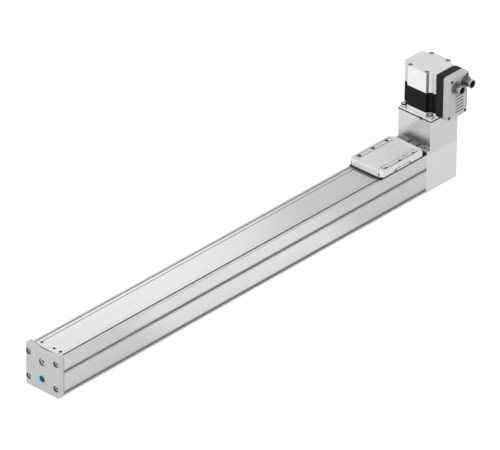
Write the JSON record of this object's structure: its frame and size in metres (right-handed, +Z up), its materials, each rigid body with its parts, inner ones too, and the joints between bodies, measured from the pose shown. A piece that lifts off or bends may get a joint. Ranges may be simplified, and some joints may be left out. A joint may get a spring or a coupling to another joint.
{
  "type": "belt driven linear axis",
  "caption": "Closed profile linear axis: a carriage on an inner ball rail, driven through side slots by a toothed belt from an upright motor with integrated electronics.",
  "frame": {"origin": "middle of the axis's underside, on the resting face of the profile", "axes": "+X along the axis from the end cap to the drive head, +Z up through the carriage and the motor, -Y the side that carries the motor's connectors"},
  "size_m": [0.7942, 0.0978, 0.1802],
  "materials": {
    "anodised_profile": "clear anodised, fine drawn grain",
    "machined_aluminium": "fine milled and anodised",
    "strip_steel": "bright rolled spring steel",
    "bright_steel": "ground steel",
    "screw_steel": "zinc plated steel",
    "port_blue": "moulded",
    "stop_rubber": "moulded black rubber",
    "belt_rubber": "steel corded polyurethane",
    "spider_rubber": "elastic plastic",
    "black_plastic": "moulded",
    "motor_silver": "cast aluminium, silver finish",
    "motor_black": "black painted laminations",
    "cover_grey": "die cast, silver grey finish",
    "connector_nickel": "nickel plated brass",
    "board_green": "solder mask"
  },
  "bodies": {
    "axis_frame": {"axis_profile": "anodised_profile", "cover_strip": "strip_steel", "strip_clamp": "machined_aluminium", "guide_rail": "bright_steel", "rail_screws": "screw_steel", "end_cap": "machined_aluminium", "cap_screws": "screw_steel", "tension_screw": "screw_steel", "port_plug": "port_blue", "tension_fork": "machined_aluminium", "idler_pin": "bright_steel", "toothed_belt": "belt_rubber", "head_stops": "stop_rubber", "drive_head": "machined_aluminium", "head_cover_plate": "machined_aluminium", "drive_bearings": "bright_steel", "coupling_housing": "machined_aluminium", "motor_flange": "motor_silver", "motor_screws": "screw_steel", "motor_stator": "motor_black", "motor_bearings": "bright_steel", "motor_rear_cover": "motor_silver", "electronics_spacer": "black_plastic", "circuit_board": "board_green", "electronics_cover": "cover_grey", "connector_signal": "connector_nickel", "connector_signal_insert": "black_plastic", "connector_power": "connector_nickel", "connector_power_insert": "black_plastic"},
    "carriage": {"carriage_plate": "anodised_profile", "slide": "anodised_profile", "runner_block": "bright_steel", "runner_caps": "black_plastic", "belt_clamp": "machined_aluminium", "clamp_pad": "anodised_profile"},
    "drive_train": {"drive_pulley": "machined_aluminium", "drive_shaft": "bright_steel", "coupling_lower_hub": "machined_aluminium", "coupling_spider": "spider_rubber", "coupling_upper_hub": "machined_aluminium", "motor_shaft": "bright_steel", "motor_rotor": "bright_steel", "encoder_magnet": "bright_steel"},
    "idler": {"idler_pulley": "machined_aluminium", "idler_bearings": "bright_steel"}
  },
  "joints": [
    {"name": "carriage_slide", "type": "slide", "parent": "axis_frame", "child": "carriage", "axis": [1, 0, 0], "range_m": [-0.6, 0], "deforming": ["toothed_belt"]},
    {"name": "drive_spin", "type": "hinge", "parent": "axis_frame", "child": "drive_train", "pos_m": [0.3685, 0, 0.044], "axis": [0, 0, 1], "range_deg": [-2701, 1]},
    {"name": "idler_spin", "type": "hinge", "parent": "axis_frame", "child": "idler", "pos_m": [-0.3665, 0, 0.044], "axis": [0, 0, 1], "range_deg": [-2701, 1]}
  ],
  "couplings": [
    {"joint": "drive_spin", "follows": "carriage_slide", "rad_per_m": 78.54},
    {"joint": "idler_spin", "follows": "carriage_slide", "rad_per_m": 78.54}
  ]
}
